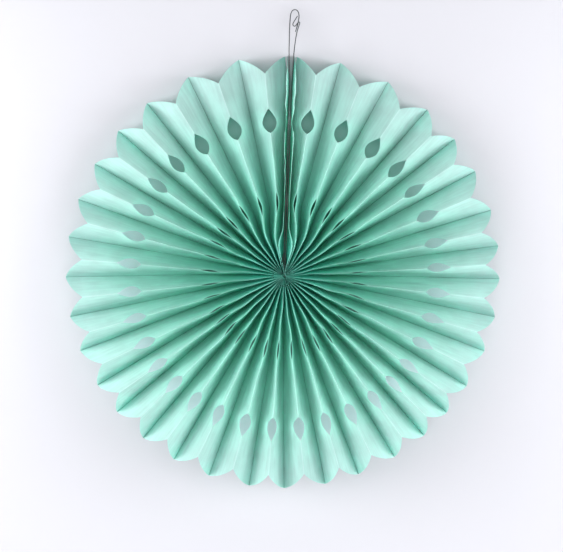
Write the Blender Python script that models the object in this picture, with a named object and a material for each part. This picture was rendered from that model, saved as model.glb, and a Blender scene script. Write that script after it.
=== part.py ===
"""A hanging paper fan rosette: one die-cut, accordion-folded sheet and its string.

The sheet is made the way the real one is. A flat strip gets its scalloped edge, its
almond holes, its slits and the punched holes near the inner edge, it is folded to and
fro across its whole width, and the folded strip is swung round until its two ends meet
in a seam at the top. Every panel keeps its width, so the pleats are deep at the hub and
shallower at the rim. One string runs through the punched holes, draws the inner ends
into a ring, comes out in the seam and is tied to a hanging loop above the rim.

Frame: +Z up along the seam, +Y to the back, the fan's front towards -Y, and the origin
at the middle of the rosette. Units are metres.
"""
import random
from math import asin, cos, hypot, pi, radians, sin, sqrt, tau

import bmesh
import bpy
from mathutils import Vector

MM = 0.001

# The sheet
PLEATS = 34                        # front folds, each with a panel on either side
TIP_RADIUS = 200.0 * MM            # hub axis to the points of the rim
SCALLOP_DEPTH = 15.8 * MM          # how far the notches lie inside the points
RIM_BULGE = 2.0 * MM               # the cut between point and notch is a little round
RIM_DEPTH = 5.0 * MM               # depth left at the rim in the widest pleat
PAPER = 0.12 * MM                  # thickness of the tissue
MITRE_LIMIT = 6.0                  # longest mitre at a sharp fold, in thicknesses
EYE_RADIUS = 3.0 * MM              # ring of inner ends

# How the sheet is opened
SEAM_ANGLE = radians(1.8)          # between the two back folds of the seam, at the rim
SEAM_SHUT = radians(0.5)           # the same where the seam is nearly shut
SEAM_PARTS = 172.0 * MM            # from this radius outwards it parts
OPEN_AT_TOP = 0.106                # pleats beside the seam stand wider than below
OPEN_AT_ENDS = 0.097               # top and bottom stand wider than the sides
UNEVEN = 0.12                      # largest share by which single pleats differ
UNEVEN_SEED = 42034
SPREAD_ANGLE = radians(12.0)       # the string pushes the pleats aside at the hub
SPREAD_REACH = radians(75.0)       # the last pleat that gives way, from the seam
SPREAD_FULL = 28.0 * MM            # full spread inside this radius
SPREAD_END = 66.0 * MM             # and none beyond this one
SEAM_SPREAD = (9.0 * MM, 22.0 * MM)  # the same two radii for the seam's back folds

# The panels arch towards the front in their outer part, and the front folds soften there
ARCH = 0.75                        # 0 is a flat panel, 1 a front fold without any edge
ARCH_START = 110.0 * MM
ARCH_FULL = 152.0 * MM

# The two end flaps, which stand forward from the seam
FLAP_GAP_HUB = 0.4 * MM            # seam's middle to a flap's front edge, at the hub
FLAP_GAP = 2.6 * MM                # the same past the lens, where the flaps close up
FLAP_GAP_RIM = 4.1 * MM            # and in the outer half
FLAP_LEAN = (85.0 * MM, 120.0 * MM)  # where they lean apart to that
LENS_OPENING = 4.4 * MM            # the flaps bow apart where the string comes out
LENS_START = 2.0 * MM
LENS_WIDEST = (28.0 * MM, 29.0 * MM)
LENS_END = 46.0 * MM

# The die-cut openings, as radii along the fold and half widths on the flat paper
HOLE_INNER = 130.5 * MM
HOLE_LENGTH = 22.0 * MM
HOLE_HALF_WIDTH = 9.4 * MM
HOLE_BLUNTNESS = 0.8               # below 1 the inner end is round and the outer one sharp
SLIT_INNER = 58.4 * MM
SLIT_LENGTH = 18.2 * MM
SLIT_HALF_WIDTH = 3.6 * MM

# The string and the row of holes that it runs through
STRING = 1.0 * MM                  # diameter
STRING_RING = 10.0 * MM            # radius at which it is threaded
STRING_PLAY = 0.3 * MM             # clearance round it in the punched holes
RING_STEP = radians(16.0)          # between the tube's points on its way round the hub
LONG_SPAN = 12.0 * MM              # spans above this get a point between their ends

# Where the mesh gets its rows, as shares of each opening's length
HOLE_STATIONS = (0.0, 0.12, 0.38, 0.72, 1.0)
SLIT_STATIONS = (0.0, 0.3, 0.7, 1.0)
PLAIN_STATIONS = (15.0 * MM, 21.0 * MM, 32.0 * MM, 45.0 * MM)

LAST_FOLD = 2 * PLEATS + 2         # folds 0 and LAST_FOLD are the flaps' free edges
SAME = 1e-3 * MM                   # places nearer than this are one place
PUNCH_HALF = (STRING / 2 + STRING_PLAY) * sqrt(2)


def clear_scene():
    for item in list(bpy.data.objects):
        bpy.data.objects.remove(item, do_unlink=True)


def new_collection(name):
    collection = bpy.data.collections.new(name)
    bpy.context.scene.collection.children.link(collection)
    return collection


def matte(name, colour, roughness):
    material = bpy.data.materials.new(name)
    material.use_nodes = True
    shader = material.node_tree.nodes["Principled BSDF"]
    shader.inputs["Base Color"].default_value = (*colour, 1.0)
    shader.inputs["Roughness"].default_value = roughness
    shader.inputs["Metallic"].default_value = 0.0
    return material


def ease(value, start, end):
    """0 before start, 1 after end and a smooth step between them."""
    share = min(max((value - start) / (end - start), 0.0), 1.0)
    return share * share * (3.0 - 2.0 * share)


# The opened fan. Folds are numbered clockwise, seen from the front, from the right
# flap's free edge to the left one's. Even folds lie in front, odd folds at the back.

def rim_angles():
    """Angle of every fold at the rim, clockwise from the seam."""
    rng = random.Random(UNEVEN_SEED)
    shares = []
    for pleat in range(PLEATS):
        turn = tau * (pleat + 0.5) / PLEATS
        opening = 1.0 + OPEN_AT_TOP * cos(turn) + OPEN_AT_ENDS * cos(2.0 * turn)
        shares.append(opening * (1.0 + UNEVEN * rng.uniform(-1.0, 1.0)))
    scale = (tau - SEAM_ANGLE) / sum(shares)
    back = [SEAM_ANGLE / 2]
    for share in shares:
        back.append(back[-1] + share * scale)
    angles = {}
    for index, angle in enumerate(back):
        angles[2 * index + 1] = angle
    for index in range(PLEATS):
        angles[2 * index + 2] = (back[index] + back[index + 1]) / 2
    return angles


RIM_ANGLES = rim_angles()


def spread(angle, radius, full, end):
    """Push an angle away from the seam, the more the nearer it is to it."""
    side = angle if angle < pi else angle - tau
    share = abs(side) / SPREAD_REACH
    if share >= 1.0:
        return angle
    push = SPREAD_ANGLE * (1.0 - ease(radius, full, end)) * (1.0 - share) ** 2
    return angle + (push if side > 0.0 else -push)


def flap_gap(radius):
    """Distance of a flap's front edge from the seam's middle."""
    gap = FLAP_GAP_HUB + (FLAP_GAP - FLAP_GAP_HUB) * ease(radius, 0.0, LENS_END)
    gap += (FLAP_GAP_RIM - FLAP_GAP) * ease(radius, *FLAP_LEAN)
    bow = ease(radius, LENS_START, LENS_WIDEST[0]) * (1.0 - ease(radius, LENS_WIDEST[1], LENS_END))
    return gap + LENS_OPENING * bow


def fold_angle(fold, radius):
    """Angle of a fold at a radius: the inner ends are evenly gathered round the eye."""
    if fold in (0, LAST_FOLD):
        lean = asin(flap_gap(radius) / radius)
        return lean if fold == 0 else tau - lean
    at_hub = tau * fold / LAST_FOLD
    at_rim = RIM_ANGLES[fold]
    reach = (SPREAD_FULL, SPREAD_END)
    if fold in (1, LAST_FOLD - 1):
        shut = (SEAM_ANGLE - SEAM_SHUT) / 2 * (1.0 - ease(radius, SEAM_PARTS, TIP_RADIUS))
        at_rim += -shut if fold == 1 else shut
        reach = SEAM_SPREAD
    return spread(at_rim + (at_hub - at_rim) * EYE_RADIUS / radius, radius, *reach)


def fold_plan(fold, radius):
    angle = fold_angle(fold, radius)
    return Vector((radius * sin(angle), 0.0, radius * cos(angle)))


def chord(fold, radius):
    """Mean distance on the plan from a fold to the folds beside it."""
    here = fold_plan(fold, radius)
    beside = [other for other in (fold - 1, fold + 1) if 0 <= other <= LAST_FOLD]
    return sum((fold_plan(other, radius) - here).length for other in beside) / len(beside)


# From fold to fold on the flat paper, so that the widest pleat keeps its rim depth: 28 mm
PANEL_WIDTH = hypot(max(chord(fold, TIP_RADIUS) for fold in range(LAST_FOLD + 1)), RIM_DEPTH)


def fold_point(fold, radius):
    """Place of a fold at a radius. The panels' constant width sets its depth."""
    depth = sqrt(PANEL_WIDTH ** 2 - chord(fold, radius) ** 2) / 2
    here = fold_plan(fold, radius)
    here.y = -depth if fold % 2 == 0 else depth
    return here


# The flat strip: x runs along it, fold after fold, and y is the radius on the fan.

def die_cuts():
    """Start, length and outline of the openings cut across the front folds."""
    def hole(share):
        return HOLE_HALF_WIDTH * sin(pi * share ** HOLE_BLUNTNESS)

    def slit(share):
        return SLIT_HALF_WIDTH * sin(pi * share)

    return ((HOLE_INNER, HOLE_LENGTH, HOLE_STATIONS, hole),
            (SLIT_INNER, SLIT_LENGTH, SLIT_STATIONS, slit))


def stations():
    """Radii of the mesh's rows, from the eye to the rim."""
    rows = [EYE_RADIUS, TIP_RADIUS, *PLAIN_STATIONS]
    rows += [STRING_RING - PUNCH_HALF, STRING_RING, STRING_RING + PUNCH_HALF]
    for start, length, shares, _ in die_cuts():
        rows += [start + length * share for share in shares]
    return sorted(rows)


def rim_radius(across):
    """Radius of the cut edge, by the distance across a panel from its front fold."""
    share = across / PANEL_WIDTH
    return TIP_RADIUS - SCALLOP_DEPTH * (1.0 - share) + RIM_BULGE * 4.0 * share * (1.0 - share)


def flat_strip():
    """A grid with a column at each fold and in the middle of each panel."""
    rows = stations()
    columns = 2 * LAST_FOLD
    strip = bmesh.new()
    bmesh.ops.create_grid(strip, x_segments=columns, y_segments=len(rows) - 1, size=1.0)
    for vert in strip.verts:
        column = round((vert.co.x + 1.0) / 2.0 * columns)
        row = round((vert.co.y + 1.0) / 2.0 * (len(rows) - 1))
        vert.co = (column * PANEL_WIDTH / 2, rows[row], 0.0)
    return strip


def place_key(vert):
    return round(vert.co.x / SAME), round(vert.co.y / SAME)


def open_cut(strip, lines, start, end, half_width):
    """Slit the strip along x = lines from start to end, and part the cut's two sides."""
    slit = []
    for edge in strip.edges:
        a, b = (vert.co for vert in edge.verts)
        inside = start - SAME < min(a.y, b.y) and max(a.y, b.y) < end + SAME
        if abs(a.x - b.x) < SAME and inside and any(abs(a.x - line) < SAME for line in lines):
            slit.append(edge)
    lips = {vert for edge in slit for vert in edge.verts
            if start + SAME < vert.co.y < end - SAME}
    places = {place_key(vert) for vert in lips}
    bmesh.ops.split_edges(strip, edges=[edge for edge in slit if not edge.is_boundary])
    for vert in strip.verts:
        if place_key(vert) not in places:
            continue
        middle = sum(face.calc_center_median().x for face in vert.link_faces)
        side = 1.0 if middle / len(vert.link_faces) > vert.co.x else -1.0
        vert.tag = True
        vert.co.z = side * half_width(vert.co.y)
    for vert in strip.verts:
        if vert.tag:
            vert.co.x += vert.co.z
            vert.co.z = 0.0
            vert.tag = False


def cut_strip(strip):
    front_folds = [fold * PANEL_WIDTH for fold in range(0, LAST_FOLD + 1, 2)]
    middles = [(panel + 0.5) * PANEL_WIDTH for panel in range(LAST_FOLD)]
    for start, length, _, outline in die_cuts():
        open_cut(strip, front_folds, start, start + length,
                 lambda y, s=start, n=length, f=outline: f((y - s) / n))
    open_cut(strip, middles, STRING_RING - PUNCH_HALF, STRING_RING + PUNCH_HALF,
             lambda y: PUNCH_HALF)
    for vert in strip.verts:
        if vert.co.y > TIP_RADIUS - SAME:
            to_front = vert.co.x % (2.0 * PANEL_WIDTH)
            vert.co.y = rim_radius(min(to_front, 2.0 * PANEL_WIDTH - to_front))


def crease_strip(strip):
    """Split the quads so that neighbouring panels mirror each other and can't cross.

    Just outside the seam's two back folds the sheet twists, and is split the other way.
    """
    leans = {True: [], False: []}
    for face in strip.faces:
        along = face.calc_center_median().x / PANEL_WIDTH
        twists = 1.0 < min(along, LAST_FOLD - along) < 1.5
        leans[(int(along) % 2 == 0) != twists].append(face)
    bmesh.ops.triangulate(strip, faces=leans[True], quad_method="FIXED")
    bmesh.ops.triangulate(strip, faces=leans[False], quad_method="ALTERNATE")


def thicken_strip(strip):
    """Give the strip its thickness, with its two faces at z = -PAPER/2 and PAPER/2."""
    bmesh.ops.solidify(strip, geom=strip.faces, thickness=PAPER)
    middle = sum(vert.co.z for vert in strip.verts) / len(strip.verts)
    bmesh.ops.translate(strip, verts=strip.verts, vec=(0.0, 0.0, -middle))


def panel_place(panel, share, radius):
    """Place in the middle of the paper, and how steep the panel is there: 1 if flat."""
    near, far = fold_point(panel, radius), fold_point(panel + 1, radius)
    front, back = (near, far) if panel % 2 == 0 else (far, near)
    down = share if panel % 2 == 0 else 1.0 - share
    bow = ARCH * ease(radius, ARCH_START, ARCH_FULL)
    place = near.lerp(far, share)
    place.y = front.y + (back.y - front.y) * down * (1.0 - bow + bow * down)
    return place, 1.0 - bow + 2.0 * bow * down


def fold_side(fold, radius):
    """Where a fold's front side lies: into the V of a back fold, out of a front one.

    The length makes a mitre of the two panels' thicknesses, as far as MITRE_LIMIT.
    """
    here = fold_point(fold, radius)
    before = (panel_place(fold - 1, 0.5, radius)[0] - here).normalized()
    after = (panel_place(fold, 0.5, radius)[0] - here).normalized()
    mitre = min(2.0 / (after - before).length, MITRE_LIMIT)
    return (before + after).normalized() * (mitre if fold % 2 else -mitre)


def panel_point(panel, share, radius, off):
    """Place on the opened fan of a point that lies off towards the paper's front side."""
    place, steepness = panel_place(panel, share, radius)
    fold = panel + round(share)
    at_fold = abs(panel + share - fold) * PANEL_WIDTH < SAME
    if at_fold and 0 < fold < LAST_FOLD:
        return place + fold_side(fold, radius) * off
    along = fold_point(panel + 1, radius) - fold_point(panel, radius)
    along.y *= steepness
    return place + along.cross(Vector((place.x, 0.0, place.z))).normalized() * off


def fold_strip(strip):
    """Bring each point of the flat strip to its place on the opened fan."""
    for vert in strip.verts:
        along = vert.co.x / PANEL_WIDTH
        panel = min(int(along + SAME / PANEL_WIDTH), LAST_FOLD - 1)
        vert.co = panel_point(panel, along - panel, vert.co.y, vert.co.z)
    bmesh.ops.recalc_face_normals(strip, faces=strip.faces)


def make_sheet(collection):
    strip = flat_strip()
    cut_strip(strip)
    crease_strip(strip)
    thicken_strip(strip)
    fold_strip(strip)
    mesh = bpy.data.meshes.new("pleated_sheet")
    strip.to_mesh(mesh)
    strip.free()
    mesh.materials.append(matte("mint_tissue", (0.30, 0.74, 0.62), 0.85))
    sheet = bpy.data.objects.new("pleated_sheet", mesh)
    collection.objects.link(sheet)
    return sheet


# The string. Its route is chosen by hand, in millimetres: the short end under the knot,
# the loop above it and the left strand down to the hub, then the right strand up again,
# its turn round the other end and the long loose end.

DOWN_LEFT = (
    (2.9, -0.6, 221.0), (3.7, -0.4, 224.4), (4.7, 0.0, 228.0), (5.3, 0.3, 231.6),
    (5.6, 0.5, 235.2), (5.1, 0.8, 238.2), (3.8, 1.0, 240.2), (1.8, 1.1, 241.0),
    (-0.2, 1.0, 240.2), (-1.6, 0.8, 238.0), (-2.1, 0.5, 235.0), (-2.5, 0.2, 226.5),
    (-2.4, 0.0, 212.0), (-2.2, -0.5, 200.0), (-1.7, -1.5, 186.0), (-0.9, -7.0, 150.0),
    (-0.85, -9.0, 105.0), (-0.85, -9.0, 70.0), (-0.8, -4.0, 32.0), (-0.75, -0.4, 15.0),
    (-0.72, 0.0, 12.0), (-0.78, 0.0, 10.9), (-1.1, 0.0, 10.15), (-1.75, 0.0, 9.85))
UP_RIGHT = (
    (1.75, 0.0, 9.85), (1.1, 0.0, 10.15), (0.78, 0.0, 10.9), (0.72, 0.0, 12.0),
    (0.75, -0.4, 15.0), (0.8, -4.0, 32.0), (0.85, -9.0, 70.0), (0.85, -9.0, 105.0),
    (0.9, -7.0, 150.0), (1.7, -1.5, 186.0), (2.0, -0.5, 200.0), (3.0, 0.3, 212.0),
    (4.3, 1.0, 221.0), (5.8, 1.2, 226.6), (6.5, 0.3, 229.2), (5.9, -0.9, 229.9),
    (4.6, -1.3, 229.1), (3.4, -1.2, 227.2), (2.3, -1.2, 226.1), (0.9, -1.2, 226.2),
    (0.2, -1.2, 227.6), (0.9, -1.2, 229.6), (2.5, -1.2, 232.4), (4.1, -1.2, 235.2))


def smooth_route(points):
    """A smooth curve through the points, with points added on its long spans."""
    route = [points[0]]
    for index in range(len(points) - 1):
        a, b = points[index], points[index + 1]
        span = (b - a).length
        before = points[index - 1] if index else a
        after = points[index + 2] if index + 2 < len(points) else b
        leave = (b - before).normalized() * span
        arrive = (after - a).normalized() * span
        steps = 2 if span > LONG_SPAN else 1
        for step in range(1, steps + 1):
            t = step / steps
            route.append(a * (2 * t ** 3 - 3 * t ** 2 + 1) + leave * (t ** 3 - 2 * t ** 2 + t)
                         + b * (3 * t ** 2 - 2 * t ** 3) + arrive * (t ** 3 - t ** 2))
    return route


def string_ring():
    """The stretch threaded round the hub, from the left flap to the right one."""
    edge = asin(-DOWN_LEFT[-1][0] * MM / STRING_RING) + RING_STEP / 2
    steps = round((tau - 2.0 * edge) / RING_STEP)
    ring = []
    for step in range(steps + 1):
        angle = tau - edge - (tau - 2.0 * edge) * step / steps
        ring.append(Vector((STRING_RING * sin(angle), 0.0, STRING_RING * cos(angle))))
    return ring


def make_string(collection):
    down = smooth_route([Vector(point) * MM for point in DOWN_LEFT])
    up = smooth_route([Vector(point) * MM for point in UP_RIGHT])
    route = down + string_ring() + up
    curve = bpy.data.curves.new("hanging_string", "CURVE")
    curve.dimensions = "3D"
    curve.bevel_depth = STRING / 2
    curve.bevel_resolution = 2
    curve.use_fill_caps = True
    spline = curve.splines.new("POLY")
    spline.points.add(len(route) - 1)
    for knot, point in zip(spline.points, route):
        knot.co = (*point, 1.0)
    spline.use_smooth = True
    curve.materials.append(matte("grey_twine", (0.30, 0.27, 0.24), 0.8))
    string = bpy.data.objects.new("hanging_string", curve)
    collection.objects.link(string)
    return string


clear_scene()
FAN = new_collection("paper_fan_rosette")
make_sheet(FAN)
make_string(FAN)
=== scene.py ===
# %% [markdown]
# # A hanging paper fan rosette
#
# The object is one long strip of mint tissue paper, die-cut and folded to and fro, swung round
# into a disc and held by a string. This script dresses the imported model: it makes the sheet
# again from the same law with over ten times the faces, gives it thin, light-passing tissue,
# and twists the string from three plies. Everything is in metres, +Z up, the front faces -Y.

# %% Load the frame
import random
from functools import lru_cache
from math import asin, cos, hypot, pi, radians, sin, sqrt, tau

import bmesh
import bpy
from mathutils import Matrix, Vector, noise


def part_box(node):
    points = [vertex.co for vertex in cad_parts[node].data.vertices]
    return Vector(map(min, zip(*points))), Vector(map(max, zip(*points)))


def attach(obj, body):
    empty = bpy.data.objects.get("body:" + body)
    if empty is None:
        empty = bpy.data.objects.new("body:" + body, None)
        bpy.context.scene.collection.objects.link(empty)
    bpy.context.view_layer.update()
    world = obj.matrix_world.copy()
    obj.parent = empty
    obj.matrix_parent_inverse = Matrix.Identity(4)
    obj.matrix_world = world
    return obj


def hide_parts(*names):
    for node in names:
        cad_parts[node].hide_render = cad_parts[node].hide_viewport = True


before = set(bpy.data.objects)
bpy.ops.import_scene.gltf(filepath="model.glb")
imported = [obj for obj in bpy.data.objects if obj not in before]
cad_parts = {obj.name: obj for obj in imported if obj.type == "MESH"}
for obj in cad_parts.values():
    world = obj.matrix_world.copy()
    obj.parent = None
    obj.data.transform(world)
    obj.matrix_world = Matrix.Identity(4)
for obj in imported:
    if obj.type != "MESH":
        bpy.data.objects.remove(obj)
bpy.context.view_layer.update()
MM = 0.001
SHEET_LOW, SHEET_HIGH = (Vector(corner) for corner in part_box("pleated_sheet"))
print("sheet", [round(side / MM, 1) for side in SHEET_HIGH - SHEET_LOW], "mm")

# %% [markdown]
# ## Camera
#
# The picture was taken from well in front, a little above the fan's axis and a little to its
# left, so the nearer middle of the fan sits slightly low and right in the ring of tips. The fan
# itself hangs a trifle askew. It could be turned in the model, but a stored part should hang
# straight, so the camera is rolled instead.

# %% Place the camera
VIEW_LEFT = radians(2.06)
VIEW_UP = radians(5.32)
VIEW_ROLL = radians(1.96)
VIEW_DISTANCE = 1.5
VIEW_AIM = Vector((-2.2, 0.0, -0.7)) * MM
LENS_MM = 104.75


def place_camera():
    """Make the camera, aimed at the fan's middle, and give it to the scene."""
    towards = Vector((-sin(VIEW_LEFT) * cos(VIEW_UP), -cos(VIEW_LEFT) * cos(VIEW_UP), sin(VIEW_UP)))
    data = bpy.data.cameras.new("camera")
    data.lens = LENS_MM
    camera = bpy.data.objects.new("camera", data)
    bpy.context.collection.objects.link(camera)
    camera.location = VIEW_AIM + towards * VIEW_DISTANCE
    turn = (-towards).to_track_quat("-Z", "Y").to_matrix().to_4x4()
    turn = turn @ Matrix.Rotation(VIEW_ROLL, 4, "Z")
    camera.rotation_euler = turn.to_euler()
    bpy.context.scene.camera = camera
    return camera


camera = place_camera()
print("camera at", [round(value, 3) for value in camera.location])

# %% [markdown]
# ## String: the route
#
# One thin dark grey twine is threaded through the punched holes round the hub and comes out in
# the seam as two strands. Above the rim it goes over as a loop and is tied to itself. A curve
# with a bevel would give a smooth wire, so the route below only guides a twisted mesh. Its
# points were given one by one: the short end and the loop, the left strand down to the hub, the
# right strand up again, the knot and the long loose end.

# %% Route of the string
STRING = 1.0 * MM
STRING_RING = 10.0 * MM
RING_STEP = radians(16.0)
ROUTE_STEP = 0.8 * MM

DOWN_LEFT = (
    (2.9, -0.6, 221.0), (3.7, -0.4, 224.4), (4.7, 0.0, 228.0), (5.3, 0.3, 231.6),
    (5.6, 0.5, 235.2), (5.1, 0.8, 238.2), (3.8, 1.0, 240.2), (1.8, 1.1, 241.0),
    (-0.2, 1.0, 240.2), (-1.6, 0.8, 238.0), (-2.1, 0.5, 235.0), (-2.5, 0.2, 226.5),
    (-2.4, 0.0, 212.0), (-2.2, -0.5, 200.0), (-1.7, -1.5, 186.0), (-0.9, -7.0, 150.0),
    (-0.85, -9.0, 105.0), (-0.85, -9.0, 70.0), (-0.8, -4.0, 32.0), (-0.75, -0.4, 15.0),
    (-0.72, 0.0, 12.0), (-0.78, 0.0, 10.9), (-1.1, 0.0, 10.15), (-1.75, 0.0, 9.85))
UP_RIGHT = (
    (1.75, 0.0, 9.85), (1.1, 0.0, 10.15), (0.78, 0.0, 10.9), (0.72, 0.0, 12.0),
    (0.75, -0.4, 15.0), (0.8, -4.0, 32.0), (0.85, -9.0, 70.0), (0.85, -9.0, 105.0),
    (0.9, -7.0, 150.0), (1.7, -1.5, 186.0), (2.0, -0.5, 200.0), (3.0, 0.3, 212.0),
    (4.3, 1.0, 221.0), (5.8, 1.2, 226.6), (6.5, 0.3, 229.2), (5.9, -0.9, 229.9),
    (4.6, -1.3, 229.1), (3.4, -1.2, 227.2), (2.3, -1.2, 226.1), (0.9, -1.2, 226.2),
    (0.2, -1.2, 227.6), (0.9, -1.2, 229.6), (2.5, -1.2, 232.4), (4.1, -1.2, 235.2))


def smooth_route(points):
    """A smooth curve through the points, read every ROUTE_STEP or so."""
    route = [points[0]]
    for index in range(len(points) - 1):
        a, b = points[index], points[index + 1]
        span = (b - a).length
        before = points[index - 1] if index else a
        after = points[index + 2] if index + 2 < len(points) else b
        leave = (b - before).normalized() * span
        arrive = (after - a).normalized() * span
        steps = max(round(span / ROUTE_STEP), 1)
        for step in range(1, steps + 1):
            t = step / steps
            route.append(a * (2 * t ** 3 - 3 * t ** 2 + 1) + leave * (t ** 3 - 2 * t ** 2 + t)
                         + b * (3 * t ** 2 - 2 * t ** 3) + arrive * (t ** 3 - t ** 2))
    return route


def string_ring():
    """Points on the stretch threaded round the hub, from the left flap to the right one."""
    edge = asin(-DOWN_LEFT[-1][0] * MM / STRING_RING) + RING_STEP / 2
    steps = round((tau - 2.0 * edge) / RING_STEP)
    ring = []
    for step in range(steps + 1):
        angle = tau - edge - (tau - 2.0 * edge) * step / steps
        ring.append(Vector((STRING_RING * sin(angle), 0.0, STRING_RING * cos(angle))))
    return ring


def string_route():
    down = [Vector(point) * MM for point in DOWN_LEFT]
    up = [Vector(point) * MM for point in UP_RIGHT]
    return smooth_route(down + string_ring() + up)


ROUTE = string_route()

# %% [markdown]
# ## String: three plies
#
# Real twine is plied yarns laid round each other, which gives it oblique ridges. Separate tubes
# for the plies would hide inside one another, so one skin is enough: a flat grid is rolled into a
# tube whose section is the outline of three touching yarns, and the section turns as it travels.

# %% Roll a grid into twine
PLIES = 3
POINTS_A_PLY = 6
LAY_LENGTH = 3.4 * MM              # one full turn of the plies
PLY_OFFSET = 0.9                   # of its own radius, from the middle of the twine
PLY_RADIUS = STRING / 2 / (1.0 + PLY_OFFSET)


def ply_outline(turn):
    """Radius of the outline of three pressed yarns, by the angle from a yarn's middle."""
    middle = PLY_RADIUS * PLY_OFFSET
    off = (turn + pi / PLIES) % (tau / PLIES) - pi / PLIES
    inside = max(PLY_RADIUS ** 2 - (middle * sin(off)) ** 2, 0.0)
    return middle * cos(off) + sqrt(inside)


def route_frames(route):
    """The direction and two cross directions at each point, carried along without a twist."""
    across = Vector((0.0, 1.0, 0.0))
    frames = []
    for index, point in enumerate(route):
        ahead = route[min(index + 1, len(route) - 1)] - route[max(index - 1, 0)]
        ahead.normalize()
        across = (across - ahead * across.dot(ahead)).normalized()
        frames.append((point, across.copy(), ahead.cross(across)))
    return frames


def place_piece(name, mesh, *materials):
    """Put a finished mesh in the scene as a piece that rides on the fan."""
    piece = bpy.data.objects.new(name, mesh)
    bpy.context.collection.objects.link(piece)
    for material in materials:
        mesh.materials.append(material)
    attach(piece, "root")
    print(name, len(mesh.vertices), "vertices,", len(mesh.polygons), "faces")
    return piece


def twist_twine(name, route):
    """A closed mesh of the twine along the route."""
    frames = route_frames(route)
    around = PLIES * POINTS_A_PLY
    twine = bmesh.new()
    bmesh.ops.create_grid(twine, x_segments=len(route) - 1, y_segments=around, size=1.0)
    travelled = [0.0]
    for a, b in zip(route, route[1:]):
        travelled.append(travelled[-1] + (b - a).length)
    for vert in twine.verts:
        ring = round((vert.co.x + 1.0) / 2.0 * (len(route) - 1))
        turn = (vert.co.y + 1.0) / 2.0 * tau
        point, across, beside = frames[ring]
        lay = tau * travelled[ring] / LAY_LENGTH
        radius = ply_outline(turn)
        vert.co = point + (across * cos(turn + lay) + beside * sin(turn + lay)) * radius
    bmesh.ops.remove_doubles(twine, verts=twine.verts, dist=0.001 * MM)
    bmesh.ops.holes_fill(twine, edges=[edge for edge in twine.edges if edge.is_boundary], sides=0)
    bmesh.ops.recalc_face_normals(twine, faces=twine.faces)
    mesh = bpy.data.meshes.new(name)
    twine.to_mesh(mesh)
    twine.free()
    mesh.shade_smooth()
    return mesh


# %% [markdown]
# ## Twine: the finish
#
# The twine is dark grey and matt, with pale fibre ends that stand off it. A coarse noise would
# look like stone, so one fine noise at fibre scale varies the colour and raises the surface by
# hundredths of a millimetre. The ridges of the plies are already in the mesh.

# %% Helpers for materials
def new_material(name):
    """An empty node material: the material, its node tree and its output."""
    material = bpy.data.materials.new(name)
    material.use_nodes = True
    tree = material.node_tree
    tree.nodes.clear()
    output = tree.nodes.new("ShaderNodeOutputMaterial")
    return material, tree, output


def add(tree, kind, **settings):
    """Add a node. A setting whose name is a socket fills that socket, others the node."""
    node = tree.nodes.new("ShaderNode" + kind)
    for name, value in settings.items():
        socket = name.replace("_", " ").title()
        if socket in node.inputs:
            node.inputs[socket].default_value = value
        else:
            setattr(node, name, value)
    return node


def join(tree, source, target):
    tree.links.new(source, target)


def ramp(tree, source, *stops):
    """A colour ramp from (place, colour) pairs."""
    node = add(tree, "ValToRGB")
    elements = node.color_ramp.elements
    while len(elements) < len(stops):
        elements.new(0.5)
    for element, (place, colour) in zip(elements, stops):
        element.position = place
        element.color = (*colour, 1.0)
    join(tree, source, node.inputs["Fac"])
    return node.outputs["Color"]


# %% Twine material
TWINE_DARK = (0.014, 0.019, 0.019)
TWINE_PALE = (0.062, 0.074, 0.073)


def twine_material():
    material, tree, output = new_material("grey_twine")
    shader = add(tree, "BsdfPrincipled", roughness=0.78)
    shader.inputs["Sheen Weight"].default_value = 0.2
    place = add(tree, "TexCoord")
    fibres = add(tree, "TexNoise", scale=2600.0, detail=4.0)
    join(tree, place.outputs["Object"], fibres.inputs["Vector"])
    colour = ramp(tree, fibres.outputs["Fac"], (0.3, TWINE_DARK), (0.72, TWINE_PALE))
    join(tree, colour, shader.inputs["Base Color"])
    bump = add(tree, "Bump", strength=0.5, distance=0.05 * MM)
    join(tree, fibres.outputs["Fac"], bump.inputs["Height"])
    join(tree, bump.outputs["Normal"], shader.inputs["Normal"])
    join(tree, shader.outputs["BSDF"], output.inputs["Surface"])
    return material


string = place_piece("twisted_string", twist_twine("twisted_string", ROUTE), twine_material())
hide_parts("hanging_string")

# %% [markdown]
# ## Sheet: how the fan opens
#
# A folded strip that is swung round into a disc obeys one rule: every panel keeps its width. So
# where the folds crowd at the hub the pleats stand deep, and where they spread at the rim they
# grow shallower. The angle of each fold and that rule give every point of the paper. Even folds
# lie in front and end in the notches, odd folds lie at the back and end in the points.

# %% Sizes of the sheet
PLEATS = 34
TIP_RADIUS = 200.0 * MM
RIM_DEPTH = 5.0 * MM
SCALLOP_DEPTH = 15.8 * MM
RIM_BULGE = 2.0 * MM
PAPER = 0.12 * MM
MITRE_LIMIT = 6.0
EYE_RADIUS = 3.0 * MM
SEAM_ANGLE = radians(1.8)
SEAM_SHUT = radians(0.5)
SEAM_PARTS = 172.0 * MM
OPEN_AT_TOP = 0.106
OPEN_AT_ENDS = 0.097
UNEVEN = 0.12
UNEVEN_SEED = 42034
SPREAD_ANGLE = radians(12.0)
SPREAD_REACH = radians(75.0)
SPREAD_FULL = 28.0 * MM
SPREAD_END = 66.0 * MM
SEAM_SPREAD = (9.0 * MM, 22.0 * MM)
FLAP_GAP_HUB = 0.4 * MM
FLAP_GAP = 2.6 * MM
FLAP_GAP_RIM = 4.1 * MM
FLAP_LEAN = (85.0 * MM, 120.0 * MM)
LENS_OPENING = 4.4 * MM
LENS_START = 2.0 * MM
LENS_WIDEST = (28.0 * MM, 29.0 * MM)
LENS_END = 46.0 * MM
LAST_FOLD = 2 * PLEATS + 2         # folds 0 and LAST_FOLD are the free edges of the end flaps


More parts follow.
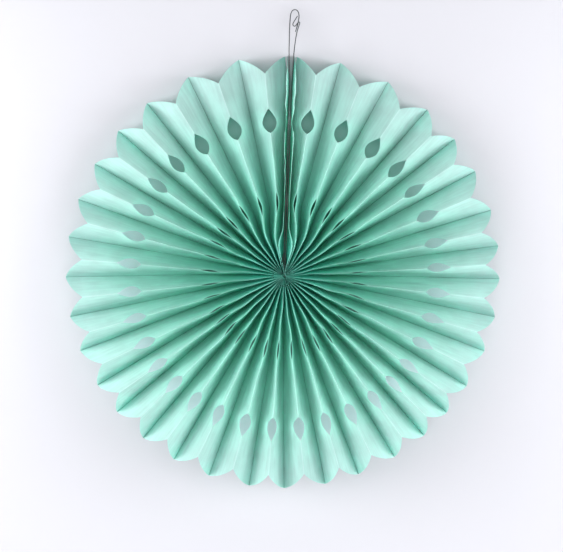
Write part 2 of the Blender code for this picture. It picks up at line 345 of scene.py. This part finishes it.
def ease(value, start, end):
    """0 before start, 1 after end and a smooth step between them."""
    share = min(max((value - start) / (end - start), 0.0), 1.0)
    return share * share * (3.0 - 2.0 * share)


# %% Angles of the folds
def rim_angles():
    """Angle of every fold at the rim, clockwise from the seam."""
    rng = random.Random(UNEVEN_SEED)
    shares = []
    for pleat in range(PLEATS):
        turn = tau * (pleat + 0.5) / PLEATS
        opening = 1.0 + OPEN_AT_TOP * cos(turn) + OPEN_AT_ENDS * cos(2.0 * turn)
        shares.append(opening * (1.0 + UNEVEN * rng.uniform(-1.0, 1.0)))
    scale = (tau - SEAM_ANGLE) / sum(shares)
    back = [SEAM_ANGLE / 2]
    for share in shares:
        back.append(back[-1] + share * scale)
    angles = {}
    for index, angle in enumerate(back):
        angles[2 * index + 1] = angle
    for index in range(PLEATS):
        angles[2 * index + 2] = (back[index] + back[index + 1]) / 2
    return angles


RIM_ANGLES = rim_angles()


def spread(angle, radius, full, end):
    """Push an angle away from the seam, the more the nearer it is to it."""
    side = angle if angle < pi else angle - tau
    share = abs(side) / SPREAD_REACH
    if share >= 1.0:
        return angle
    push = SPREAD_ANGLE * (1.0 - ease(radius, full, end)) * (1.0 - share) ** 2
    return angle + (push if side > 0.0 else -push)


def flap_gap(radius):
    """Distance of a flap's front edge from the seam's middle."""
    gap = FLAP_GAP_HUB + (FLAP_GAP - FLAP_GAP_HUB) * ease(radius, 0.0, LENS_END)
    gap += (FLAP_GAP_RIM - FLAP_GAP) * ease(radius, *FLAP_LEAN)
    bow = ease(radius, LENS_START, LENS_WIDEST[0]) * (1.0 - ease(radius, LENS_WIDEST[1], LENS_END))
    return gap + LENS_OPENING * bow


def fold_angle(fold, radius):
    """Angle of a fold at a radius: the inner ends are evenly gathered round the eye."""
    if fold in (0, LAST_FOLD):
        lean = asin(flap_gap(radius) / radius)
        return lean if fold == 0 else tau - lean
    at_hub = tau * fold / LAST_FOLD
    at_rim = RIM_ANGLES[fold]
    reach = (SPREAD_FULL, SPREAD_END)
    if fold in (1, LAST_FOLD - 1):
        shut = (SEAM_ANGLE - SEAM_SHUT) / 2 * (1.0 - ease(radius, SEAM_PARTS, TIP_RADIUS))
        at_rim += -shut if fold == 1 else shut
        reach = SEAM_SPREAD
    return spread(at_rim + (at_hub - at_rim) * EYE_RADIUS / radius, radius, *reach)


# %% Places of the folds
WANDER = 0.16                      # of the distance between two front folds
WANDER_SIZE = 22.0 * MM
WANDER_START = 14.0 * MM
WANDER_END = 120.0 * MM
WAVE = 0.5 * MM                    # of the flaps' free edges
WAVE_SIZE = 9.0 * MM


def wander(fold, radius):
    """The pull of the gathered hub leaves the front folds a little crooked, in radians."""
    if fold % 2:
        return 0.0
    rows = ease(radius, EYE_RADIUS, WANDER_START) * (1.0 - ease(radius, WANDER_START, WANDER_END))
    if fold in (0, LAST_FOLD):
        field = noise.noise(Vector((radius / WAVE_SIZE, fold * 1.3, 9.2)))
        return field * 2.0 * WAVE * ease(radius, LENS_END, FLAP_LEAN[1]) / radius
    field = noise.noise(Vector((fold * 0.71, radius / WANDER_SIZE, 5.3)))
    return field * 2.0 * WANDER * tau / PLEATS * rows


@lru_cache(maxsize=None)
def fold_plan(fold, radius):
    angle = fold_angle(fold, radius) + wander(fold, radius)
    return Vector((radius * sin(angle), 0.0, radius * cos(angle)))


@lru_cache(maxsize=None)
def chord(fold, radius):
    """Mean distance on the plan from a fold to the folds beside it."""
    here = fold_plan(fold, radius)
    beside = [other for other in (fold - 1, fold + 1) if 0 <= other <= LAST_FOLD]
    return sum((fold_plan(other, radius) - here).length for other in beside) / len(beside)


PANEL_WIDTH = hypot(max(chord(fold, TIP_RADIUS) for fold in range(LAST_FOLD + 1)), RIM_DEPTH)
print("panels", round(PANEL_WIDTH / MM, 2), "mm wide")


@lru_cache(maxsize=None)
def fold_point(fold, radius):
    """Place of a fold at a radius. The panels' constant width sets its depth."""
    depth = sqrt(PANEL_WIDTH ** 2 - chord(fold, radius) ** 2) / 2
    here = fold_plan(fold, radius).copy()
    here.y = -depth if fold % 2 == 0 else depth
    return here


# %% [markdown]
# ## Sheet: the flat strip and its cuts
#
# The factory cuts the strip flat and folds it afterwards, and so does this script. It starts as
# one grid with a column of points on every fold. The almond holes and the slits lie across the
# front folds, the round holes for the string in the middle of every panel. Cutting shapes out
# with a boolean would leave ragged faces; instead the grid is slit along a line of edges and the
# points beside it are squeezed aside, so that the rows flow round each opening.

# %% Sizes of the cuts
HOLE_INNER = 130.5 * MM
HOLE_LENGTH = 22.0 * MM
HOLE_HALF_WIDTH = 9.4 * MM
HOLE_BLUNTNESS = 0.8
SLIT_INNER = 58.4 * MM
SLIT_LENGTH = 18.2 * MM
SLIT_HALF_WIDTH = 3.6 * MM
STRING_PLAY = 0.3 * MM
PUNCH_RADIUS = STRING / 2 + STRING_PLAY

COLUMNS = 10                       # columns of faces in a panel
HUB_STEP = 3.6 * MM                # rows of faces, in the three zones
MIDDLE_STEP = 7.0 * MM
RIM_STEP = 5.4 * MM
HOLE_ROWS = 14
SLIT_ROWS = 9
PUNCH_ROWS = 4
HUB_ZONE = 50.0 * MM
RIM_START = 156.0 * MM             # beyond this radius the rows follow the scallops
SAME = 1e-3 * MM


def hole_width(radius):
    share = (radius - HOLE_INNER) / HOLE_LENGTH
    return HOLE_HALF_WIDTH * sin(pi * share ** HOLE_BLUNTNESS) if 0.0 < share < 1.0 else 0.0


def slit_width(radius):
    share = (radius - SLIT_INNER) / SLIT_LENGTH
    return SLIT_HALF_WIDTH * sin(pi * share) if 0.0 < share < 1.0 else 0.0


def punch_width(radius):
    inside = PUNCH_RADIUS ** 2 - (radius - STRING_RING) ** 2
    return sqrt(inside) if inside > 0.0 else 0.0


# %% Rows of the grid
def between(start, end, step):
    """Radii from start up to, but not including, end, about step apart."""
    count = max(round((end - start) / step), 1)
    return [start + (end - start) * index / count for index in range(count)]


def rows_of_strip():
    rows = between(EYE_RADIUS, STRING_RING - PUNCH_RADIUS, HUB_STEP)
    punch_end = STRING_RING + PUNCH_RADIUS
    rows += between(STRING_RING - PUNCH_RADIUS, punch_end, 2 * PUNCH_RADIUS / PUNCH_ROWS)
    rows += between(punch_end, HUB_ZONE, HUB_STEP)
    rows += between(HUB_ZONE, SLIT_INNER, HUB_STEP)
    rows += between(SLIT_INNER, SLIT_INNER + SLIT_LENGTH, SLIT_LENGTH / SLIT_ROWS)
    rows += between(SLIT_INNER + SLIT_LENGTH, HOLE_INNER, MIDDLE_STEP)
    rows += between(HOLE_INNER, HOLE_INNER + HOLE_LENGTH, HOLE_LENGTH / HOLE_ROWS)
    rows += between(HOLE_INNER + HOLE_LENGTH, RIM_START, RIM_STEP)
    rows += between(RIM_START, TIP_RADIUS, RIM_STEP)
    return rows + [TIP_RADIUS]


ROWS = rows_of_strip()
print(len(ROWS), "rows of points,", COLUMNS * LAST_FOLD + 1, "columns")


# %% Cut the strip
def flat_strip():
    """A grid with x along the strip and y the radius on the fan."""
    strip = bmesh.new()
    columns = COLUMNS * LAST_FOLD
    bmesh.ops.create_grid(strip, x_segments=columns, y_segments=len(ROWS) - 1, size=1.0)
    for vert in strip.verts:
        column = round((vert.co.x + 1.0) / 2.0 * columns)
        row = round((vert.co.y + 1.0) / 2.0 * (len(ROWS) - 1))
        vert.co = (column * PANEL_WIDTH / COLUMNS, ROWS[row], 0.0)
    return strip


def slit_lines(strip, spacing, offset, width):
    """Slit the strip along x = offset + n * spacing wherever width opens it."""
    slit = []
    for edge in strip.edges:
        a, b = (vert.co for vert in edge.verts)
        line = round((a.x - offset) / spacing) * spacing + offset
        on_line = abs(a.x - line) < SAME and abs(b.x - line) < SAME
        if on_line and width((a.y + b.y) / 2) > 0.0 and not edge.is_boundary:
            slit.append(edge)
    bmesh.ops.split_edges(strip, edges=slit)


def push_aside(across, opening, room):
    """New distance of a point from the middle of an opening that pushes it aside."""
    return opening + across * (room - opening) / room


def open_cuts(strip):
    """Squeeze the points beside each cut, so that the slit lines become the openings."""
    moved = []
    for vert in strip.verts:
        x, radius = vert.co.x, vert.co.y
        middle = sum(face.calc_center_median().x for face in vert.link_faces)
        middle /= len(vert.link_faces)
        opening = hole_width(radius) + slit_width(radius)
        if opening > 0.0:
            fold = round(x / (2 * PANEL_WIDTH)) * 2 * PANEL_WIDTH
            side = 1.0 if middle > fold else -1.0
            moved.append((vert, fold + side * push_aside(abs(x - fold), opening, PANEL_WIDTH)))
        elif punch_width(radius) > 0.0:
            line = (int(middle / PANEL_WIDTH) + 0.5) * PANEL_WIDTH
            side = 1.0 if middle > line else -1.0
            room = PANEL_WIDTH / 2
            moved.append((vert, line + side * push_aside(abs(x - line), punch_width(radius), room)))
    for vert, x in moved:
        vert.co.x = x


def rim_radius(across):
    """Radius of the cut edge, by the distance across a panel from its front fold."""
    share = across / PANEL_WIDTH
    return TIP_RADIUS - SCALLOP_DEPTH * (1.0 - share) + RIM_BULGE * 4.0 * share * (1.0 - share)


def scallop_rim(strip):
    """Shrink the outer rows towards the scalloped edge."""
    for vert in strip.verts:
        if vert.co.y > RIM_START + SAME:
            from_front = vert.co.x % (2 * PANEL_WIDTH)
            edge = rim_radius(min(from_front, 2 * PANEL_WIDTH - from_front))
            share = (vert.co.y - RIM_START) / (TIP_RADIUS - RIM_START)
            vert.co.y = RIM_START + share * (edge - RIM_START)


# %% [markdown]
# ## Sheet: folding
#
# Each point of the flat strip now goes to its place on the opened fan. Paper that is stretched
# open does not stay flat between its folds: near the rim the front folds relax into soft crests
# and the panels arch towards the viewer, while the folds at the back stay sharp. Handling leaves
# shallow dents and crumples too. They are small moves across the panel, which fade out towards
# the hub, where the panels nearly touch. There the inner ends lean in and close the eye.

# %% Shape of a panel
ARCH = 0.75                        # 0 is a flat panel, 1 a front fold without any edge
ARCH_START = 110.0 * MM
ARCH_FULL = 152.0 * MM
ARCH_UNEVEN = 0.14
DENT = 0.45 * MM
DENT_SIZE = 24.0 * MM
DENT_PER_RADIUS = 0.007
CRUMPLE = 0.10 * MM
CRUMPLE_SIZE = 5.5 * MM
EYE_LEAN = 1.7 * MM                # how far the front of the inner ends leans in
EYE_LEAN_END = 16.0 * MM


def arch_of(panel, radius):
    own = noise.noise(Vector((panel * 0.83, 3.1, radius / (60.0 * MM))))
    return ARCH * ease(radius, ARCH_START, ARCH_FULL) * (1.0 + ARCH_UNEVEN * own)


def dent_at(x, radius):
    """A shallow uneven dent with crumples in it, in metres, zero on the folds."""
    share = x / PANEL_WIDTH % 1.0
    dent = noise.noise(Vector((x / DENT_SIZE, radius / DENT_SIZE / 1.6, 0.7)))
    crumple = noise.noise(Vector((x / CRUMPLE_SIZE, radius / CRUMPLE_SIZE / 2.2, 4.4)))
    near_hub = min(1.0, DENT_PER_RADIUS * radius / DENT)
    return (dent * DENT * 2.0 + crumple * CRUMPLE * 2.0) * near_hub * sin(pi * share) ** 1.5


def panel_place(panel, share, radius):
    """Place in the middle of the paper, and how steep the panel is there: 1 if flat."""
    near, far = fold_point(panel, radius), fold_point(panel + 1, radius)
    front, back = (near, far) if panel % 2 == 0 else (far, near)
    down = share if panel % 2 == 0 else 1.0 - share
    bow = arch_of(panel, radius)
    place = near.lerp(far, share)
    place.y = front.y + (back.y - front.y) * down * (1.0 - bow + bow * down)
    return place, 1.0 - bow + 2.0 * bow * down


# %% Fold the strip
@lru_cache(maxsize=None)
def fold_side(fold, radius):
    """Where a fold's front side lies: into the V of a back fold, out of a front one."""
    here = fold_point(fold, radius)
    before = (panel_place(fold - 1, 1.0 - 1.0 / COLUMNS, radius)[0] - here).normalized()
    after = (panel_place(fold, 1.0 / COLUMNS, radius)[0] - here).normalized()
    mitre = min(2.0 / (after - before).length, MITRE_LIMIT)
    return (before + after).normalized() * (mitre if fold % 2 else -mitre)


def lean_in(place):
    """Lean the front of the inner ends towards the axis, so that they close the eye."""
    radius = hypot(place.x, place.z)
    forward = max(-place.y / (PANEL_WIDTH / 2), 0.0)
    lean = EYE_LEAN * forward ** 2 * (1.0 - ease(radius, EYE_RADIUS, EYE_LEAN_END))
    place.x *= 1.0 - lean / radius
    place.z *= 1.0 - lean / radius
    return place


def sheet_point(x, radius, off):
    """Place on the opened fan of a point that lies off towards the paper's front side."""
    radius = round(radius, 9)
    panel = min(int((x + SAME) / PANEL_WIDTH), LAST_FOLD - 1)
    share = x / PANEL_WIDTH - panel
    place, steepness = panel_place(panel, share, radius)
    fold = panel + round(share)
    if abs(panel + share - fold) * PANEL_WIDTH < SAME and 0 < fold < LAST_FOLD:
        return lean_in(place + fold_side(fold, radius) * off)
    along = fold_point(panel + 1, radius) - fold_point(panel, radius)
    along.y *= steepness
    across = along.cross(Vector((place.x, 0.0, place.z))).normalized()
    return lean_in(place + across * (off + dent_at(x, radius)))


def fold_strip(strip):
    for vert in strip.verts:
        vert.co = sheet_point(vert.co.x, vert.co.y, vert.co.z)
    bmesh.ops.recalc_face_normals(strip, faces=strip.faces)


def flat_map(strip):
    """Keep the place on the flat paper, in metres, as the sheet's UV map."""
    layer = strip.loops.layers.uv.new("flat_paper")
    for face in strip.faces:
        for loop in face.loops:
            loop[layer].uv = loop.vert.co.xy


def make_sheet(name):
    """Cut the flat strip, give it its thickness and fold it."""
    strip = flat_strip()
    slit_lines(strip, 2 * PANEL_WIDTH, 0.0, lambda r: hole_width(r) + slit_width(r))
    slit_lines(strip, PANEL_WIDTH, PANEL_WIDTH / 2, punch_width)
    open_cuts(strip)
    scallop_rim(strip)
    bmesh.ops.solidify(strip, geom=strip.faces, thickness=PAPER)
    middle = sum(vert.co.z for vert in strip.verts) / len(strip.verts)
    bmesh.ops.translate(strip, verts=strip.verts, vec=(0.0, 0.0, -middle))
    flat_map(strip)
    fold_strip(strip)
    mesh = bpy.data.meshes.new(name)
    strip.to_mesh(mesh)
    strip.free()
    return mesh


# %% [markdown]
# ## Tissue: the finish
#
# Tissue this thin passes part of the light, so a lit panel glows on its far side and the deep
# pleats fill with a strong green. A plain surface would look like plastic. The shader mixes a
# matt surface with one that lets light through. On the flat paper's own coordinates fine fibres,
# faint clouds and long streaks vary both, and painted shade lies in a dark line along the folds
# at the back. Light that has crossed many crowded layers keeps only its green, more than two
# surfaces can show, so that colour is painted in. It deepens towards the hub and is least on the
# front folds. Those carry a painted highlight, a paler line, and, like the gathered hub, let less
# light through.

# %% Tissue material
TISSUE = (0.635, 0.815, 0.83)      # the matt surface
PASSED = (0.20, 0.74, 0.60)        # the light that has passed through one layer
PASS_SHARE = 0.50                  # how much of the paper lets light through
CREASE_SHADE = 0.45 * MM                 # half width of the painted shade along the back folds
CREASE_SHADE_DEPTH = 0.40                # how much darker the painted shade makes the paper
CREST_HIGHLIGHT = 0.30 * MM                  # half width of the painted highlight on the front folds
CREST_HIGHLIGHT_GAIN = 0.10                  # how much paler the painted highlight makes them
SOLID_HUB = (48.0 * MM, 12.0 * MM)  # from here inwards the pleats touch and let less light through
SOLID_SHARE = 0.75                 # how much of the passing light is lost there and on the crests
DEEP = (0.20, 0.96, 0.76)          # painted colour of the light that crowded layers leave of each colour, at the hub
DEEP_RADII = (185.0 * MM, 20.0 * MM)  # none of it outside the first, all of it inside the second
DEEP_FOOT = 0.35                   # share of a panel in which a front fold stays pale
DEEP_CREST = 0.62                  # how much of the strong colour is on the fold itself
UNEVEN_DYE = (0.90, 1.05)          # strength of the colour, where the dye took least and most
CLOUDS_AND_STREAKS = (0.6, 1.4)    # sums of the two noises between which it varies
STREAKS = (420.0, 38.0, 1.0)       # a metre, across the panels and along them


def number(tree, operation, *values):
    """A maths node on values, which are numbers or other nodes' outputs."""
    node = add(tree, "Math", operation=operation)
    for socket, value in zip(node.inputs, values):
        if isinstance(value, (int, float)):
            socket.default_value = value
        else:
            join(tree, value, socket)
    return node.outputs["Value"]


def smooth_between(tree, value, start, end):
    """0 before start, 1 after end."""
    node = add(tree, "MapRange", interpolation_type="SMOOTHSTEP")
    join(tree, value, node.inputs["Value"])
    node.inputs["From Min"].default_value = start
    node.inputs["From Max"].default_value = end
    return node.outputs["Result"]


def texture(tree, place, scale, detail):
    node = add(tree, "TexNoise", scale=scale, detail=detail)
    join(tree, place, node.inputs["Vector"])
    return node.outputs["Fac"]


def tissue_material():
    """Tissue that is part matt and part light-passing, on the flat paper's coordinates."""
    material, tree, output = new_material("mint_tissue")
    surface = add(tree, "BsdfPrincipled", roughness=0.88)
    surface.inputs["Specular IOR Level"].default_value = 0.2
    glow = add(tree, "BsdfTranslucent")
    place = add(tree, "UVMap", uv_map="flat_paper").outputs["UV"]
    stretch = add(tree, "Mapping")
    stretch.inputs["Scale"].default_value = STREAKS
    join(tree, place, stretch.inputs["Vector"])
    clouds = texture(tree, place, 45.0, 6.0)
    fibres = texture(tree, place, 900.0, 3.0)
    streaks = texture(tree, stretch.outputs["Vector"], 1.0, 3.0)
    dye = smooth_between(tree, number(tree, "ADD", clouds, streaks), *CLOUDS_AND_STREAKS)
    dye = number(tree, "MULTIPLY_ADD", dye, UNEVEN_DYE[1] - UNEVEN_DYE[0], UNEVEN_DYE[0])
    flat = add(tree, "SeparateXYZ")
    join(tree, place, flat.inputs["Vector"])
    from_front = number(tree, "PINGPONG", flat.outputs["X"], PANEL_WIDTH)
    # painted shade: a dark line along the back folds
    crease_shade = smooth_between(tree, from_front, PANEL_WIDTH - CREASE_SHADE, PANEL_WIDTH)
    # painted highlight: a paler line along the front folds, which also lets less light through
    highlit_crest = smooth_between(tree, from_front, CREST_HIGHLIGHT, 0.0)
    strength = number(tree, "MULTIPLY_ADD", crease_shade, -CREASE_SHADE_DEPTH, dye)
    strength = number(tree, "MULTIPLY_ADD", highlit_crest, CREST_HIGHLIGHT_GAIN, strength)
    # painted colour of light that has crossed crowded layers: deepest at the hub, least on the
    # front folds
    foot = smooth_between(tree, from_front, 0.0, DEEP_FOOT * PANEL_WIDTH)
    foot = number(tree, "MULTIPLY_ADD", foot, 1.0 - DEEP_CREST, DEEP_CREST)
    inwards = add(tree, "MapRange")
    join(tree, flat.outputs["Y"], inwards.inputs["Value"])
    inwards.inputs["From Min"].default_value, inwards.inputs["From Max"].default_value = DEEP_RADII
    deep = ramp(tree, number(tree, "MULTIPLY", foot, inwards.outputs["Result"]),
                (0.0, (1.0, 1.0, 1.0)), (1.0, DEEP))
    for colour, socket in ((TISSUE, surface.inputs["Base Color"]), (PASSED, glow.inputs["Color"])):
        tint = add(tree, "VectorMath", operation="SCALE")
        tint.inputs[0].default_value = colour
        join(tree, strength, tint.inputs["Scale"])
        filtered = add(tree, "VectorMath", operation="MULTIPLY")
        join(tree, tint.outputs["Vector"], filtered.inputs[0])
        join(tree, deep, filtered.inputs[1])
        join(tree, filtered.outputs["Vector"], socket)
    bump = add(tree, "Bump", strength=0.3, distance=0.06 * MM)
    join(tree, fibres, bump.inputs["Height"])
    join(tree, bump.outputs["Normal"], surface.inputs["Normal"])
    mix = add(tree, "MixShader")
    hub = add(tree, "MapRange")
    join(tree, flat.outputs["Y"], hub.inputs["Value"])
    hub.inputs["From Min"].default_value, hub.inputs["From Max"].default_value = SOLID_HUB
    solid = number(tree, "MAXIMUM", highlit_crest, hub.outputs["Result"])
    passing = number(tree, "MULTIPLY_ADD", solid, -PASS_SHARE * SOLID_SHARE, PASS_SHARE)
    join(tree, passing, mix.inputs["Fac"])
    join(tree, surface.outputs["BSDF"], mix.inputs[1])
    join(tree, glow.outputs["BSDF"], mix.inputs[2])
    join(tree, mix.outputs["Shader"], output.inputs["Surface"])
    return material


sheet = place_piece("folded_sheet", make_sheet("folded_sheet"), tissue_material())
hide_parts("pleated_sheet")

# %% [markdown]
# ## Room
#
# The fan hangs on a pale wall, close to it at the top and some centimetres off at the bottom, so
# the lower holes look onto lit wall and the upper ones into shade. A large soft lamp in front
# lights the whole. Smaller ones all round, most of them nearly level with the wall, light the
# rim's panels but hardly reach into the pleats, which therefore darken towards the hub. These
# few layers of rendered tissue let too much light onto the wall behind the middle and tint it too
# little near the rim, so shade is painted onto the wall where the slits look onto it, and faint
# green light is painted behind the ring of holes. It shows only from its front, so that it does
# not hide the fan from behind. A pale floor lies well below.

# %% Wall, floor and light
WALL_COLOUR = (0.50, 0.50, 0.54)
WALL_GAP_BOTTOM = 50.0 * MM        # from the middle of the sheet's depth
WALL_GAP_TOP = 8.0 * MM
WALL_HALF = 2.2
WALL_SHADE = (0.22, 0.40, 0.34)    # painted shade, of its colour, where the crowded pleats keep the light off it
WALL_SHADE_RADII = (95.0 * MM, 128.0 * MM)
GLOW_LOW = (0.65, 0.74, 0.80)      # painted light on the wall behind the lower holes, green from the tissue
GLOW_HIGH = (0.38, 0.52, 0.53)     # the same painted light behind the upper holes
GLOW_HEIGHTS = (60.0 * MM, 150.0 * MM)
GLOW_RADII = (184.0 * MM, 174.0 * MM)
FLOOR_DEPTH = 2.1
WORLD_LEVEL = 0.03
LAMPS = (                          # name, place, side and power of each square lamp
    ("front_lamp", (-0.1, -1.8, 0.25), 1.5, 18.0),
    ("left_front_lamp", (-0.8, -0.8, 0.0), 0.5, 2.2),
    ("right_front_lamp", (0.8, -0.8, 0.0), 0.5, 3.0),
    ("left_lamp", (-0.85, -0.42, 0.0), 0.5, 4.4),
    ("right_lamp", (0.85, -0.42, 0.0), 0.5, 3.8),
    ("left_wall_lamp", (-0.85, -0.2, 0.0), 0.36, 6.2),
    ("right_wall_lamp", (0.85, -0.2, 0.0), 0.36, 5.2),
    ("low_lamp", (0.0, -0.5, -0.95), 0.5, 2.4),
    ("high_lamp", (0.0, -0.6, 0.95), 0.5, 2.0),
    ("low_wall_lamp", (0.0, -0.2, -0.95), 0.36, 3.8))


def wall_colour(tree):
    """The wall's colour, with painted shade behind the hub and painted green light behind the ring
    of holes.
    """
    place = add(tree, "TexCoord").outputs["Object"]
    reach = add(tree, "VectorMath", operation="LENGTH")
    join(tree, place, reach.inputs[0])
    reach = reach.outputs["Value"]
    split = add(tree, "SeparateXYZ")
    join(tree, place, split.inputs["Vector"])
    height = smooth_between(tree, split.outputs["Z"], *GLOW_HEIGHTS)
    glow = ramp(tree, height, (0.0, GLOW_LOW), (1.0, GLOW_HIGH))
    glowing = add(tree, "MixRGB")
    join(tree, smooth_between(tree, reach, *GLOW_RADII), glowing.inputs["Fac"])
    glowing.inputs["Color1"].default_value = (*WALL_COLOUR, 1.0)
    join(tree, glow, glowing.inputs["Color2"])
    out_of_shade = smooth_between(tree, reach, *WALL_SHADE_RADII)
    shade = ramp(tree, out_of_shade, (0.0, WALL_SHADE), (1.0, (1.0, 1.0, 1.0)))
    shaded = add(tree, "VectorMath", operation="MULTIPLY")
    join(tree, glowing.outputs["Color"], shaded.inputs[0])
    join(tree, shade, shaded.inputs[1])
    return shaded.outputs["Vector"]


def wall_material():
    material, tree, output = new_material("pale_wall")
    shader = add(tree, "BsdfPrincipled", roughness=0.95)
    join(tree, wall_colour(tree), shader.inputs["Base Color"])
    clear = add(tree, "BsdfTransparent")
    side = add(tree, "NewGeometry")
    mix = add(tree, "MixShader")
    join(tree, side.outputs["Backfacing"], mix.inputs["Fac"])
    join(tree, shader.outputs["BSDF"], mix.inputs[1])
    join(tree, clear.outputs["BSDF"], mix.inputs[2])
    join(tree, mix.outputs["Shader"], output.inputs["Surface"])
    return material


def stage_plane(name, material, matrix):
    """A large square of the room, which is no part of the fan."""
    plane = bmesh.new()
    bmesh.ops.create_grid(plane, x_segments=1, y_segments=1, size=WALL_HALF, matrix=matrix)
    mesh = bpy.data.meshes.new(name)
    plane.to_mesh(mesh)
    plane.free()
    mesh.materials.append(material)
    piece = bpy.data.objects.new(name, mesh)
    bpy.context.collection.objects.link(piece)


def soft_lamp(name, place, side, power):
    """A square lamp that is aimed at the fan's middle."""
    data = bpy.data.lights.new(name, "AREA")
    data.shape = "SQUARE"
    data.size = side
    data.energy = power
    lamp = bpy.data.objects.new(name, data)
    bpy.context.collection.objects.link(lamp)
    lamp.location = place
    lamp.rotation_euler = (-lamp.location).to_track_quat("-Z", "Y").to_euler()


def set_world():
    """White where the camera sees past the wall, and hardly any light from there."""
    world = bpy.data.worlds.new("room_light")
    bpy.context.scene.world = world
    world.use_nodes = True
    tree = world.node_tree
    tree.nodes.clear()
    output = tree.nodes.new("ShaderNodeOutputWorld")
    lit = add(tree, "Background", strength=WORLD_LEVEL)
    seen = add(tree, "Background", strength=1.0)
    for node in (lit, seen):
        node.inputs["Color"].default_value = (1.0, 1.0, 1.0, 1.0)
    path = add(tree, "LightPath")
    mix = add(tree, "MixShader")
    join(tree, path.outputs["Is Camera Ray"], mix.inputs["Fac"])
    join(tree, lit.outputs["Background"], mix.inputs[1])
    join(tree, seen.outputs["Background"], mix.inputs[2])
    join(tree, mix.outputs["Shader"], output.inputs["Surface"])


wall_lean = (WALL_GAP_TOP - WALL_GAP_BOTTOM) / (2.0 * TIP_RADIUS)
wall_middle = Vector((0.0, (WALL_GAP_TOP + WALL_GAP_BOTTOM) / 2, 0.0))
wall_turn = Matrix.Rotation(radians(90.0) - wall_lean, 4, "X")
stage_plane("wall", wall_material(), Matrix.Translation(wall_middle) @ wall_turn)
stage_plane("floor", wall_material(), Matrix.Translation((0.0, 0.0, -FLOOR_DEPTH)))
for name, place, side, power in LAMPS:
    soft_lamp(name, Vector(place), side, power)
set_world()
bpy.context.scene.view_settings.view_transform = "Standard"
